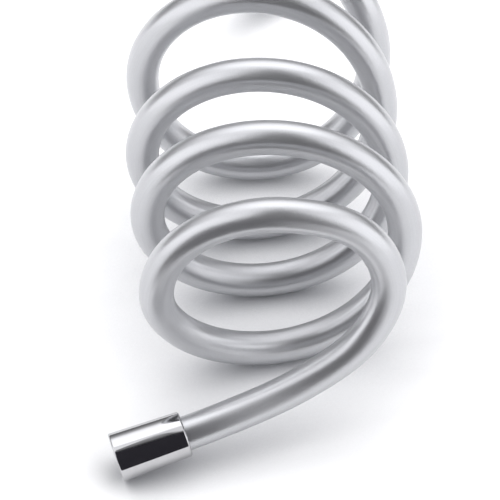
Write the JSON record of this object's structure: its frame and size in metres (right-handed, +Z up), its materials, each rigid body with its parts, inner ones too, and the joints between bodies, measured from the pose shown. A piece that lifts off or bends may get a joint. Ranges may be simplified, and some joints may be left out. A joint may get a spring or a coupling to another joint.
{
  "type": "shower hose",
  "caption": "Flexible smooth silver shower hose lying in an open coil, with a chrome coupling nut at one end and a cone nut at the other.",
  "frame": {"origin": "centre of the bounding box on the floor that the coil stands on", "axes": "+Z up; +Y along the coil, from the coupling nut towards the cone nut; +X to the right as seen from the coupling nut's end"},
  "size_m": [0.1502, 0.4066, 0.1491],
  "materials": {
    "silver_hose": "smooth silver plastic with a soft sheen",
    "chrome": "mirror-bright chrome plate on brass",
    "brass": "turned brass",
    "steel": "pressed stainless steel",
    "nylon": "plain natural nylon",
    "rubber": "matt black rubber"
  },
  "bodies": {
    "hose_line": {"hose": "silver_hose", "front_tail": "brass", "front_ferrule": "steel", "front_glide_ring": "nylon", "rear_tail": "brass", "rear_ferrule": "steel", "rear_glide_ring": "nylon"},
    "coupling_nut": {"front_nut": "chrome", "front_washer": "rubber"},
    "cone_nut": {"rear_nut": "chrome", "rear_washer": "rubber"}
  },
  "joints": [
    {"name": "coupling_nut_spin", "type": "hinge", "parent": "hose_line", "child": "coupling_nut", "pos_m": [-0.07119, -0.19188, 0.01179], "axis": [0.9418, 0.279, 0.1874], "continuous": true},
    {"name": "cone_nut_spin", "type": "hinge", "parent": "hose_line", "child": "cone_nut", "pos_m": [0.04207, 0.1943, 0.01255], "axis": [-0.776, -0.6284, -0.0533], "continuous": true}
  ]
}
